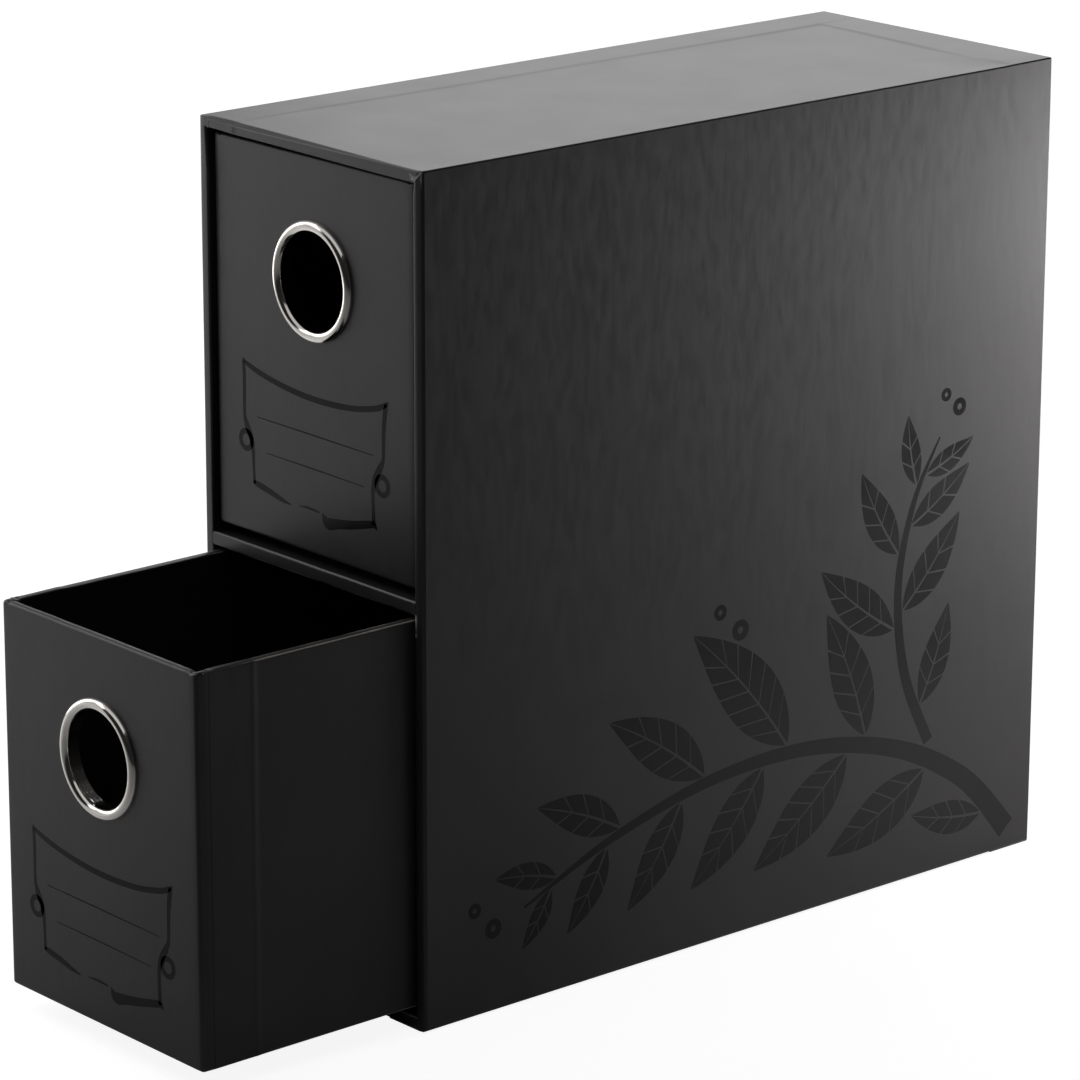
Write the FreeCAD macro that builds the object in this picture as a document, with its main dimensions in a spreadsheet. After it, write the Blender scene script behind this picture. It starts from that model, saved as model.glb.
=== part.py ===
import FreeCAD, Part
import math
import os
import Sketcher

# Card storage box with two pull-out drawers: greyboard panels wrapped in black paper,
# one drawer above the other, each with a metal finger eyelet. Lengths are in millimetres.
# Origin: centre of the case's base. The drawers open towards -Y, +Z is up.

doc = FreeCAD.newDocument("card_drawer_box")

# Point numbers of a sketch edge, and the sketch's own X axis and root point
START, END, CENTRE = range(1, 4)
ROOT = -1
X_AXIS = -1

# Driving sizes, one row each: name, value, what it is
DRIVING = [
    ("case_width", 84.8, "outside of the case, along X"),
    ("case_depth", 212.5, "outside of the case, along Y"),
    ("case_height", 215.0, "outside of the case, along Z"),
    ("cover_sheet", 0.2, "printed paper glued round the outside"),
    ("lining_sheet", 0.2, "plain paper inside the bays, and where a cover turns in"),
    ("wall_board", 2.0, "greyboard of the sides, top and back"),
    ("floor_board", 3.0, "greyboard of the case's floor"),
    ("divider_board", 3.2, "greyboard between the bays"),
    ("side_turn_in", 13.4, "how far a side cover laps onto the top and the bottom"),
    ("back_turn_in", 14.8, "how far the back cover laps round the case's four sides"),
    ("front_turn_in", 12.0, "how far the covers run into the bays from the front edge"),
    ("glide_board", 2.0, "board on each bay's floor, which the drawer slides on"),
    ("glide_setback", 8.0, "from the case's front edge to the glide board"),
    ("glide_gap", 0.3, "between the glide board and the bay's walls"),
    ("drawer_side_gap", 1.1, "between drawer and bay, each side"),
    ("drawer_top_gap", 1.1, "between the drawer's rim and the bay's ceiling"),
    ("drawer_slide_gap", 0.3, "between the drawer and its glide board"),
    ("drawer_back_gap", 0.5, "behind a closed drawer"),
    ("drawer_recess", 1.5, "a closed drawer's face behind the case's front edge"),
    ("lower_drawer_pull", 64.9, "the lower drawer's face in front of the case's front edge"),
    ("drawer_board", 2.0, "greyboard of the drawers"),
    ("drawer_wrap", 0.2, "paper round the outside of a drawer and over its rims"),
    ("drawer_lining", 0.2, "paper inside a drawer"),
    ("rim_turn_in", 15.0, "how far a drawer's paper runs down inside from the rim"),
    ("front_sheet_lap", 16.0, "how far a drawer's front sheet runs back along its sides"),
    ("eyelet_margin", 3.0, "from the end of that turned-in wrap down to the finger hole"),
    ("eyelet_bore", 24.4, "clear diameter of the finger hole"),
    ("eyelet_bead", 2.8, "width of the rolled bead round it, on the drawer's face"),
    ("eyelet_sheet", 0.4, "metal of the eyelet"),
    ("eyelet_clinch", 0.8, "how far the barrel's end is turned out behind the back ring"),
    ("eyelet_seat_gap", 0.1, "between the eyelet's barrel and the hole round it"),
    ("back_ring_sheet", 0.5, "metal of the back ring"),
]

# Levels worked out from the driving sizes. x levels are half widths, because the box is
# symmetric about x = 0. Drawer levels start at the drawer's own face and underside.
WORKED_OUT = [
    ("outer_x", "Size.case_width / 2"),
    ("lap_x", "outer_x - Size.cover_sheet"),
    ("board_x", "lap_x - Size.cover_sheet"),
    ("wall_x", "board_x - Size.wall_board"),
    ("bay_x", "wall_x - Size.lining_sheet"),
    ("lap_end_x", "outer_x - Size.side_turn_in"),
    ("front_y", "-Size.case_depth / 2"),
    ("board_front_y", "front_y + Size.lining_sheet"),
    ("strip_end_y", "front_y + Size.front_turn_in"),
    ("back_y", "Size.case_depth / 2"),
    ("board_back_y", "back_y - 2 * Size.cover_sheet"),
    ("wall_back_y", "board_back_y - Size.wall_board"),
    ("bay_back_y", "wall_back_y - Size.lining_sheet"),
    ("back_lap_y", "back_y - Size.back_turn_in"),
    ("lap_bottom_z", "Size.cover_sheet"),
    ("board_bottom_z", "2 * Size.cover_sheet"),
    ("floor_z", "board_bottom_z + Size.floor_board"),
    ("lower_bay_z", "floor_z + Size.lining_sheet"),
    ("lap_top_z", "Size.case_height - Size.cover_sheet"),
    ("board_top_z", "lap_top_z - Size.cover_sheet"),
    ("roof_z", "board_top_z - Size.wall_board"),
    ("upper_ceiling_z", "roof_z - Size.lining_sheet"),
    ("divider_thickness", "Size.divider_board + 2 * Size.lining_sheet"),
    ("bay_height", "(upper_ceiling_z - lower_bay_z - divider_thickness) / 2"),
    ("lower_ceiling_z", "lower_bay_z + bay_height"),
    ("divider_z", "lower_ceiling_z + Size.lining_sheet"),
    ("divider_top_z", "divider_z + Size.divider_board"),
    ("upper_bay_z", "divider_top_z + Size.lining_sheet"),
    ("drawer_x", "bay_x - Size.drawer_side_gap"),
    ("drawer_board_x", "drawer_x - Size.drawer_wrap"),
    ("drawer_wall_x", "drawer_board_x - Size.drawer_board"),
    ("drawer_inner_x", "drawer_wall_x - Size.drawer_lining"),
    ("drawer_length", "bay_back_y - Size.drawer_back_gap - front_y - Size.drawer_recess"),
    ("drawer_height", "bay_height - Size.glide_board - Size.drawer_slide_gap - Size.drawer_top_gap"),
    ("drawer_wall", "Size.drawer_wrap + Size.drawer_board + Size.drawer_lining"),
    ("drawer_floor", "Size.drawer_wrap + Size.drawer_board"),
    ("drawer_rim", "drawer_height - Size.drawer_wrap"),
    ("drawer_lining_top", "drawer_height - Size.rim_turn_in"),
    ("eyelet_hole", "Size.eyelet_bore / 2 + Size.eyelet_sheet + Size.eyelet_seat_gap"),
    ("eyelet_rim", "Size.eyelet_bore / 2 + Size.eyelet_bead"),
    ("eyelet_z", "drawer_lining_top - Size.eyelet_margin - eyelet_hole"),
    ("eyelet_barrel", "drawer_wall + Size.back_ring_sheet + Size.eyelet_sheet"),
    ("closed_face_y", "front_y + Size.drawer_recess"),
    ("pulled_face_y", "front_y - Size.lower_drawer_pull"),
    ("lower_drawer_z", "lower_bay_z + Size.glide_board + Size.drawer_slide_gap"),
    ("upper_drawer_z", "upper_bay_z + Size.glide_board + Size.drawer_slide_gap"),
]

size = doc.addObject("Spreadsheet::Sheet", "Size")
for row, (alias, value, meaning) in enumerate(DRIVING, start=1):
    size.set(f"A{row}", str(value))
    size.set(f"B{row}", meaning)
    size.setAlias(f"A{row}", alias)

level = doc.addObject("Spreadsheet::Sheet", "Level")
for row, (alias, formula) in enumerate(WORKED_OUT, start=1):
    level.set(f"A{row}", "=" + formula)
    level.setAlias(f"A{row}", alias)
doc.recompute()


def box(name, x, y, z, origin=("0", "0", "0")):
    """A box between pairs of levels, moved to an origin given as three expressions."""
    solid = doc.addObject("Part::Box", name)
    for side, axis, (low, high), shift in zip(("Length", "Width", "Height"), "xyz", (x, y, z), origin):
        solid.setExpression(side, f"({high}) - ({low})")
        solid.setExpression(f"Placement.Base.{axis}", f"({low}) + ({shift})")
    return solid


def across(alias):
    """The pair of x levels on both sides of the middle."""
    return (f"-Level.{alias}", f"Level.{alias}")


def between(low, high):
    """A pair of worked-out levels."""
    return (f"Level.{low}", f"Level.{high}")


def fuse(name, shapes):
    joined = doc.addObject("Part::MultiFuse", name)
    joined.Shapes = shapes
    joined.Refine = True
    return joined


def cut(name, base, tools, origin=None):
    """What is left of base after every tool is taken out of it."""
    for number, tool in enumerate(tools[:-1], start=1):
        step = doc.addObject("Part::Cut", f"{name}_step{number}")
        step.Base = base
        step.Tool = tool
        base = step
    left = doc.addObject("Part::Cut", name)
    left.Base = base
    left.Tool = tools[-1]
    left.Refine = True
    if origin:
        place(left, origin)
    return left


def common(name, base, tool, origin):
    """The part of base that lies inside the tool."""
    overlap = doc.addObject("Part::Common", name)
    overlap.Base = base
    overlap.Tool = tool
    overlap.Refine = True
    place(overlap, origin)
    return overlap


def place(piece, origin):
    for axis, expression in zip("xyz", origin):
        piece.setExpression(f"Placement.Base.{axis}", expression)


pieces = []


def keep(piece, label):
    """Names a finished sub-part, so that it is written to a file of its own."""
    piece.Label = label
    pieces.append(piece)
    return piece


# The case's greyboard panels: the sides run full height, the others stand between them

board_depth = between("board_front_y", "board_back_y")
board_height = between("board_bottom_z", "board_top_z")
back_board_depth = between("wall_back_y", "board_back_y")
divider_depth = between("board_front_y", "wall_back_y")
divider_height = between("divider_z", "divider_top_z")
left_board_width = ("-Level.board_x", "-Level.wall_x")
PANELS = [
    ("left_board", left_board_width, board_depth, board_height),
    ("right_board", between("wall_x", "board_x"), board_depth, board_height),
    ("top_board", across("wall_x"), board_depth, between("roof_z", "board_top_z")),
    ("bottom_board", across("wall_x"), board_depth, between("board_bottom_z", "floor_z")),
    ("back_board", across("wall_x"), back_board_depth, between("floor_z", "roof_z")),
]
for panel, x, y, z in PANELS:
    keep(box(panel, x, y, z), "case_" + panel)
divider = keep(box("divider", across("wall_x"), divider_depth, divider_height), "divider_board")

# Back cover: a sheet over the back that laps round onto the four sides, under their covers

lap_height = between("lap_bottom_z", "lap_top_z")
back_cover = keep(
    cut(
        "back_sheet",
        box("back_outside", across("lap_x"), between("back_lap_y", "back_y"), lap_height),
        [box("back_inside", across("board_x"), between("back_lap_y", "board_back_y"), board_height)],
    ),
    "case_back_cover",
)

# Side covers: each runs round the front edge into the bays and laps onto the case's bottom.
# The left one laps onto the top too, under the main cover, which is the right side and the
# top in one sheet. A cover is two sheets thick where nothing laps under it.

lip_depth = between("front_y", "board_front_y")
strip_depth = between("board_front_y", "strip_end_y")
lap_depth = between("board_front_y", "back_lap_y")
full_depth = between("front_y", "back_y")
strip_height = between("floor_z", "roof_z")
under_lap = between("lap_bottom_z", "board_bottom_z")

left_side = ("-Level.outer_x", "-Level.board_x")
left_lip = ("-Level.outer_x", "-Level.bay_x")
left_lap = ("-Level.outer_x", "-Level.lap_end_x")
left_cover = keep(
    cut(
        "left_sheet",
        fuse(
            "left_sheet_whole",
            [
                box("left_face", left_side, full_depth, lap_height),
                box("left_lip", left_lip, lip_depth, lap_height),
                box("left_strip", ("-Level.wall_x", "-Level.bay_x"), strip_depth, strip_height),
                box("left_top_lap", left_lap, lap_depth, between("board_top_z", "lap_top_z")),
                box("left_bottom_lap", left_lap, lap_depth, under_lap),
            ],
        ),
        [back_cover, divider],
    ),
    "case_left_cover",
)

right_side = between("board_x", "outer_x")
right_height = ("Level.lap_bottom_z", "Size.case_height")
top_lip_width = ("-Level.bay_x", "Level.outer_x")
top_lip_height = ("Level.upper_ceiling_z", "Size.case_height")
main_cover = keep(
    cut(
        "main_sheet",
        fuse(
            "main_sheet_whole",
            [
                box("top_face", across("outer_x"), full_depth, ("Level.board_top_z", "Size.case_height")),
                box("right_face", right_side, full_depth, right_height),
                box("top_lip", top_lip_width, lip_depth, top_lip_height),
                box("right_lip", between("bay_x", "outer_x"), lip_depth, right_height),
                box("top_strip", across("bay_x"), strip_depth, between("upper_ceiling_z", "roof_z")),
                box("right_strip", between("bay_x", "wall_x"), strip_depth, strip_height),
                box("right_bottom_lap", between("lap_end_x", "outer_x"), lap_depth, under_lap),
            ],
        ),
        [left_cover, back_cover, divider],
    ),
    "case_main_cover",
)

# Edge wraps: strips folded round the front edges of the floor and of the divider

wrap_depth = between("front_y", "strip_end_y")
divider_wrap_height = between("lower_ceiling_z", "upper_bay_z")
floor_wrap_height = between("lap_bottom_z", "lower_bay_z")
floor_height = between("board_bottom_z", "floor_z")
keep(
    cut(
        "divider_strip",
        box("divider_strip_outside", across("bay_x"), wrap_depth, divider_wrap_height),
        [box("divider_strip_inside", across("bay_x"), strip_depth, divider_height)],
    ),
    "divider_edge_wrap",
)
floor_wrap = keep(
    cut(
        "floor_strip",
        box("floor_strip_outside", across("bay_x"), wrap_depth, floor_wrap_height),
        [box("floor_strip_inside", across("bay_x"), strip_depth, floor_height), left_cover, main_cover],
    ),
    "floor_edge_wrap",
)

# Base sheet: covers every lap under the case

keep(
    cut(
        "base_sheet",
        box("base_face", across("outer_x"), full_depth, ("0", "Level.board_bottom_z")),
        [left_cover, main_cover, back_cover, floor_wrap],
    ),
    "case_base_sheet",
)

# Each bay has a paper lining behind the turned-in strips, and a glide board on its floor

BAYS = [
    ("lower_bay", ("floor_z", "divider_z"), ("lower_bay_z", "lower_ceiling_z")),
    ("upper_bay", ("divider_top_z", "roof_z"), ("upper_bay_z", "upper_ceiling_z")),
]
outside_depth = between("strip_end_y", "wall_back_y")
inside_depth = between("strip_end_y", "bay_back_y")
for bay, outside, inside in BAYS:
    paper = box(bay + "_outside", across("wall_x"), outside_depth, between(*outside))
    room = box(bay + "_inside", across("bay_x"), inside_depth, between(*inside))
    keep(cut(bay + "_paper", paper, [room]), bay + "_lining")
    keep(
        box(
            bay + "_glide",
            ("Size.glide_gap - Level.bay_x", "Level.bay_x - Size.glide_gap"),
            ("Level.front_y + Size.glide_setback", "Level.bay_back_y - Size.glide_gap"),
            (f"Level.{inside[0]}", f"Level.{inside[0]} + Size.glide_board"),
        ),
        bay + "_glide_board",
    )


def finger_hole(name):
    """The round hole through a drawer's front, in the drawer's own frame."""
    hole = doc.addObject("Part::Cylinder", name)
    hole.setExpression("Radius", "Level.eyelet_hole")
    hole.setExpression("Height", "3 * Level.drawer_wall")
    hole.Placement.Rotation = FreeCAD.Rotation(FreeCAD.Vector(1, 0, 0), -90)
    hole.setExpression("Placement.Base.y", "-Level.drawer_wall")
    hole.setExpression("Placement.Base.z", "Level.eyelet_z")
    return hole


def drawer_boards(drawer, origin):
    """Five panels: the walls stand on the floor board, and the sides run back from the front."""
    wrap = "Size.drawer_wrap"
    length = (wrap, f"Level.drawer_length - {wrap}")
    side_length = ("Level.drawer_floor", f"Level.drawer_length - {wrap}")
    height = between("drawer_floor", "drawer_rim")
    front_wall = (wrap, "Level.drawer_floor")
    back_wall = ("Level.drawer_length - Level.drawer_floor", f"Level.drawer_length - {wrap}")
    left_wall = ("-Level.drawer_board_x", "-Level.drawer_wall_x")
    panels = [
        ("bottom_board", across("drawer_board_x"), length, (wrap, "Level.drawer_floor")),
        ("left_board", left_wall, side_length, height),
        ("right_board", between("drawer_wall_x", "drawer_board_x"), side_length, height),
        ("back_board", across("drawer_wall_x"), back_wall, height),
    ]
    for panel, x, y, z in panels:
        keep(box(f"{drawer}_{panel}_solid", x, y, z, origin), f"{drawer}_{panel}")
    front = box(f"{drawer}_front_panel", across("drawer_board_x"), front_wall, height)
    hole = finger_hole(f"{drawer}_front_hole")
    keep(cut(f"{drawer}_front_solid", front, [hole], origin), f"{drawer}_front_board")


def drawer_papers(drawer, origin):
    """The outer paper folds over the rims and runs down inside, to the lining. It is two
    sheets: the front sheet, which runs a little way round the sides, and the wrap behind it."""
    wrap = "Size.drawer_wrap"
    wall = "Level.drawer_wall"
    length = "Level.drawer_length"
    lining_depth = ("Level.drawer_floor", f"{length} - Level.drawer_floor")
    clear_depth = (wall, f"{length} - {wall}")
    clear_height = (wall, f"Level.drawer_height + {wall}")
    outside = box(f"{drawer}_wrap_outside", across("drawer_x"), ("0", length), ("0", "Level.drawer_height"))
    core_depth = (wrap, f"{length} - {wrap}")
    core = box(f"{drawer}_wrap_core", across("drawer_board_x"), core_depth, (wrap, "Level.drawer_rim"))
    fold = between("drawer_lining_top", "drawer_rim")
    turn_in = box(f"{drawer}_wrap_turn_in", across("drawer_wall_x"), lining_depth, fold)
    mouth = box(f"{drawer}_mouth", across("drawer_inner_x"), clear_depth, clear_height)
    shell = cut(f"{drawer}_wrap_shell", outside, [core])
    whole = fuse(f"{drawer}_wrap_whole", [shell, turn_in])
    hole = finger_hole(f"{drawer}_wrap_hole")
    paper = cut(f"{drawer}_paper", whole, [mouth, hole])
    front_part = box(
        f"{drawer}_front_part",
        across("drawer_x"),
        ("0", "Size.front_sheet_lap"),
        ("0", "Level.drawer_height"),
    )
    keep(cut(f"{drawer}_wrap_solid", paper, [front_part], origin), f"{drawer}_wrap")
    keep(common(f"{drawer}_front_paper", paper, front_part, origin), f"{drawer}_front_sheet")

    lined = between("drawer_floor", "drawer_lining_top")
    inside = box(f"{drawer}_lining_outside", across("drawer_wall_x"), lining_depth, lined)
    room = box(f"{drawer}_lining_room", across("drawer_inner_x"), clear_depth, clear_height)
    hole = finger_hole(f"{drawer}_lining_hole")
    keep(cut(f"{drawer}_lining_solid", inside, [room, hole], origin), f"{drawer}_lining")


def profile(body, name):
    """An empty sketch on the body's XY plane, where sketch y is the drawer's depth."""
    plane = next(f for f in body.Origin.OriginFeatures if f.Role == "XY_Plane")
    sketch = body.newObject("Sketcher::SketchObject", name)
    sketch.AttachmentSupport = (plane, [""])
    sketch.MapMode = "FlatFace"
    return sketch


def bind(sketch, dimension, name, expression):
    """Adds a dimension to the sketch, names it and ties it to the sheets."""
    number = sketch.addConstraint(Sketcher.Constraint(*dimension))
    sketch.renameConstraint(number, name)
    sketch.setExpression("Constraints." + name, expression)


def revolve(body, sketch, name):
    """Turns the profile a full turn about the finger hole's axis."""
    turned = body.newObject("PartDesign::Revolution", name)
    turned.Profile = sketch
    turned.ReferenceAxis = (sketch, ["V_Axis"])
    turned.Angle = 360
    sketch.Visibility = False
    return turned


def line(sketch, start, end):
    return sketch.addGeometry(Part.LineSegment(FreeCAD.Vector(*start, 0), FreeCAD.Vector(*end, 0)), False)


def half_bead(sketch, centre, radius):
    """A half circle that bulges out of the drawer's face, towards -Y."""
    circle = Part.Circle(FreeCAD.Vector(centre, 0, 0), FreeCAD.Vector(0, 0, 1), radius)
    return sketch.addGeometry(Part.ArcOfCircle(circle, math.pi, 2 * math.pi), False)


def eyelet(drawer, origin):
    """A pressed ring: a hollow bead on the face, a barrel through the wall, a clinched end."""
    body = doc.addObject("PartDesign::Body", f"{drawer}_eyelet_body")
    sketch = profile(body, f"{drawer}_eyelet_profile")
    bore = size.eyelet_bore / 2
    rim = level.eyelet_rim
    metal = size.eyelet_sheet
    bead = size.eyelet_bead / 2
    crest = bore + bead
    end = level.eyelet_barrel
    lip = bore + metal + size.eyelet_clinch

    outer = half_bead(sketch, crest, bead)
    barrel = line(sketch, (bore, 0), (bore, end))
    lip_face = line(sketch, (bore, end), (lip, end))
    lip_edge = line(sketch, (lip, end), (lip, end - metal))
    lip_back = line(sketch, (lip, end - metal), (bore + metal, end - metal))
    barrel_back = line(sketch, (bore + metal, end - metal), (bore + metal, 0))
    inner = half_bead(sketch, crest, bead - metal)
    foot = line(sketch, (rim - metal, 0), (rim, 0))

    loop = [barrel, lip_face, lip_edge, lip_back, barrel_back]
    sketch.addConstraint(Sketcher.Constraint("Coincident", outer, START, barrel, START))
    for before, after in zip(loop, loop[1:]):
        sketch.addConstraint(Sketcher.Constraint("Coincident", before, END, after, START))
    sketch.addConstraint(Sketcher.Constraint("Coincident", barrel_back, END, inner, START))
    sketch.addConstraint(Sketcher.Constraint("Coincident", inner, END, foot, START))
    sketch.addConstraint(Sketcher.Constraint("Coincident", foot, END, outer, END))
    sketch.addConstraint(Sketcher.Constraint("Coincident", inner, CENTRE, outer, CENTRE))
    for upright in (barrel, lip_edge, barrel_back):
        sketch.addConstraint(Sketcher.Constraint("Vertical", upright))
    for level_line in (lip_face, lip_back):
        sketch.addConstraint(Sketcher.Constraint("Horizontal", level_line))
    for arc in (outer, inner):
        sketch.addConstraint(Sketcher.Constraint("PointOnObject", arc, START, X_AXIS))
        sketch.addConstraint(Sketcher.Constraint("PointOnObject", arc, END, X_AXIS))
    sketch.addConstraint(Sketcher.Constraint("PointOnObject", outer, CENTRE, X_AXIS))

    bind(sketch, ("DistanceX", ROOT, START, outer, START, bore), "bore", "Size.eyelet_bore / 2")
    bind(sketch, ("DistanceX", ROOT, START, outer, END, rim), "rim", "Level.eyelet_rim")
    bind(sketch, ("DistanceX", barrel, START, barrel_back, END, metal), "metal", "Size.eyelet_sheet")
    bind(sketch, ("DistanceY", barrel, START, barrel, END, end), "barrel", "Level.eyelet_barrel")
    bind(sketch, ("DistanceY", lip_edge, END, lip_edge, START, metal), "lip", "Size.eyelet_sheet")
    turned_out = "Size.eyelet_sheet + Size.eyelet_clinch"
    bind(sketch, ("DistanceX", lip_face, START, lip_face, END, lip - bore), "clinch", turned_out)
    revolve(body, sketch, f"{drawer}_eyelet_turned")
    place(body, origin)
    keep(body, f"{drawer}_eyelet")


def back_ring(drawer, origin):
    """The flat ring inside the drawer that the eyelet's barrel is clinched over."""
    body = doc.addObject("PartDesign::Body", f"{drawer}_ring_body")
    sketch = profile(body, f"{drawer}_ring_profile")
    inner = level.eyelet_hole
    outer = level.eyelet_rim
    near = level.drawer_wall
    far = near + size.back_ring_sheet
    corners = [(inner, near), (outer, near), (outer, far), (inner, far)]
    sides = [line(sketch, a, b) for a, b in zip(corners, corners[1:] + corners[:1])]
    for before, after in zip(sides, sides[1:] + sides[:1]):
        sketch.addConstraint(Sketcher.Constraint("Coincident", before, END, after, START))
    for flat in (sides[0], sides[2]):
        sketch.addConstraint(Sketcher.Constraint("Horizontal", flat))
    for upright in (sides[1], sides[3]):
        sketch.addConstraint(Sketcher.Constraint("Vertical", upright))
    near_side, rim_side = sides[:2]
    bind(sketch, ("DistanceX", ROOT, START, near_side, START, inner), "hole", "Level.eyelet_hole")
    bind(sketch, ("DistanceY", ROOT, START, near_side, START, near), "seat", "Level.drawer_wall")
    bind(sketch, ("DistanceX", ROOT, START, near_side, END, outer), "rim", "Level.eyelet_rim")
    metal = ("DistanceY", rim_side, START, rim_side, END, far - near)
    bind(sketch, metal, "metal", "Size.back_ring_sheet")
    revolve(body, sketch, f"{drawer}_ring_turned")
    place(body, origin)
    keep(body, f"{drawer}_eyelet_back_ring")


DRAWERS = [
    ("lower_drawer", "Level.pulled_face_y", "Level.lower_drawer_z"),
    ("upper_drawer", "Level.closed_face_y", "Level.upper_drawer_z"),
]
for drawer, face_y, underside_z in DRAWERS:
    corner = ("0", face_y, underside_z)
    hole_centre = ("0", face_y, f"{underside_z} + Level.eyelet_z")
    drawer_boards(drawer, corner)
    drawer_papers(drawer, corner)
    eyelet(drawer, hole_centre)
    back_ring(drawer, hole_centre)

doc.recompute()

for item in doc.Objects:
    if "Invalid" in item.State or "Error" in item.State:
        raise RuntimeError(f"{item.Label} did not recompute: {item.State}")
for piece in pieces:
    if piece.Shape.isNull() or not piece.Shape.isValid() or not piece.Shape.Solids:
        raise RuntimeError(f"{piece.Label} has no valid solid")

os.makedirs("parts", exist_ok=True)
for piece in pieces:
    piece.Shape.exportStep(f"parts/{piece.Label}.step")
    print(piece.Label, len(piece.Shape.Solids), round(piece.Shape.Volume, 1))
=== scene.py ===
import math
import bmesh
import bpy
from mathutils import Matrix, Vector, noise


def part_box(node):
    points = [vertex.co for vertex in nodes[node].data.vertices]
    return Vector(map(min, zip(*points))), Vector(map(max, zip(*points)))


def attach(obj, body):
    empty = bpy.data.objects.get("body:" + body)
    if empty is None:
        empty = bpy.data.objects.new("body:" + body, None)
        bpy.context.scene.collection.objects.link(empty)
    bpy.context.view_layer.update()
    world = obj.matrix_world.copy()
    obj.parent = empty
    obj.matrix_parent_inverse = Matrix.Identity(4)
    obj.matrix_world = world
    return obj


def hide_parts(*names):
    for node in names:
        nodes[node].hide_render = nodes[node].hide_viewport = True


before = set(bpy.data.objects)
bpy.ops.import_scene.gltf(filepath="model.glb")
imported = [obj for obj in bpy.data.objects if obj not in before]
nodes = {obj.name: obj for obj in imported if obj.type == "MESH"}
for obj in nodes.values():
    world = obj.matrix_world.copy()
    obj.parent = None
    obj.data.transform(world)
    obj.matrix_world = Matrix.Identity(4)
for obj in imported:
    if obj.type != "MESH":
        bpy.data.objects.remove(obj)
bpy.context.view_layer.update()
mm = 0.001    # sizes below are in millimetres

# Camera

cameraFit = {
    "lens": 168.9,               # on a 36 mm sensor
    "near": 0.02,                # what it can see, in metres
    "far": 60,
    "azimuth": 48.968,
    "elevation": 16.554,
    "roll": 0.150,
    "distance": 1303.3,
    "aim": (0, 0, 107.5),
    "slide": (24.4, 11.26),      # the aim point is this far right of and above the middle
}


def placeCamera():
    turn, lift, roll = (math.radians(cameraFit[k]) for k in ("azimuth", "elevation", "roll"))
    back = Vector((math.sin(turn) * math.cos(lift), -math.cos(turn) * math.cos(lift), math.sin(lift)))
    level = Vector((math.cos(turn), math.sin(turn), 0))
    upright = back.cross(level)
    right = level * math.cos(roll) + upright * math.sin(roll)
    up = upright * math.cos(roll) - level * math.sin(roll)
    bpy.ops.object.camera_add()
    camera = bpy.context.object
    camera.data.lens = cameraFit["lens"]
    camera.data.clip_start = cameraFit["near"]
    camera.data.clip_end = cameraFit["far"]
    spot = Vector(cameraFit["aim"]) + back * cameraFit["distance"]
    spot -= right * cameraFit["slide"][0] + up * cameraFit["slide"][1]
    camera.matrix_world = Matrix.Translation(spot * mm) @ Matrix((right, up, back)).transposed().to_4x4()
    bpy.context.scene.camera = camera


placeCamera()
print("camera placed")


# Materials

def newMaterial(name):
    material = bpy.data.materials.new(name)
    material.use_nodes = True
    tree = material.node_tree
    shader = tree.nodes["Principled BSDF"]
    spot = tree.nodes.new("ShaderNodeTexCoord").outputs["Object"]
    return material, tree, shader, spot


def stretched(tree, spot, scale):
    # object coordinates scaled along each axis, so that a noise comes out longer one way
    mapping = tree.nodes.new("ShaderNodeMapping")
    mapping.inputs["Scale"].default_value = scale
    tree.links.new(spot, mapping.inputs["Vector"])
    return mapping.outputs["Vector"]


def noiseOf(tree, spot, scale, detail=3, roughness=0.5):
    texture = tree.nodes.new("ShaderNodeTexNoise")
    texture.inputs["Scale"].default_value = scale
    texture.inputs["Detail"].default_value = detail
    texture.inputs["Roughness"].default_value = roughness
    tree.links.new(spot, texture.inputs["Vector"])
    return texture.outputs["Fac"]


def spread(tree, value, low, high, fromLow=0.3, fromHigh=0.7):
    # maps a noise's value to a range of results
    node = tree.nodes.new("ShaderNodeMapRange")
    node.inputs["From Min"].default_value = fromLow
    node.inputs["From Max"].default_value = fromHigh
    node.inputs["To Min"].default_value = low
    node.inputs["To Max"].default_value = high
    tree.links.new(value, node.inputs["Value"])
    return node.outputs["Result"]


def blendColours(tree, amount, first, second):
    node = tree.nodes.new("ShaderNodeMix")
    node.data_type = "RGBA"
    for socket, colour in ((node.inputs[6], first), (node.inputs[7], second)):
        if isinstance(colour, tuple):
            socket.default_value = (*colour, 1)
        else:
            tree.links.new(colour, socket)
    tree.links.new(amount, node.inputs["Factor"])
    return node.outputs[2]


def mixValues(tree, amount, first, second):
    node = tree.nodes.new("ShaderNodeMix")
    for socket, value in (("Factor", amount), ("A", first), ("B", second)):
        tree.links.new(value, node.inputs[socket])
    return node.outputs["Result"]


def mathOf(tree, operation, first, second):
    node = tree.nodes.new("ShaderNodeMath")
    node.operation = operation
    tree.links.new(first, node.inputs[0])
    tree.links.new(second, node.inputs[1])
    return node.outputs[0]


def mixShaders(tree, amount, first, second):
    node = tree.nodes.new("ShaderNodeMixShader")
    for socket, value in zip(node.inputs, (amount, first, second)):
        tree.links.new(value, socket)
    return node.outputs[0]


def bumpFrom(tree, height, distance, under=None):
    node = tree.nodes.new("ShaderNodeBump")
    node.inputs["Distance"].default_value = distance * mm
    node.inputs["Strength"].default_value = 1.0
    tree.links.new(height, node.inputs["Height"])
    if under:
        tree.links.new(under, node.inputs["Normal"])
    return node.outputs["Normal"]


def wireUp(tree, shader, colour, roughness, normal, specular):
    for socket, value in (("Base Color", colour), ("Roughness", roughness), ("Normal", normal)):
        tree.links.new(value, shader.inputs[socket])
    shader.inputs["Specular IOR Level"].default_value = specular


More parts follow.
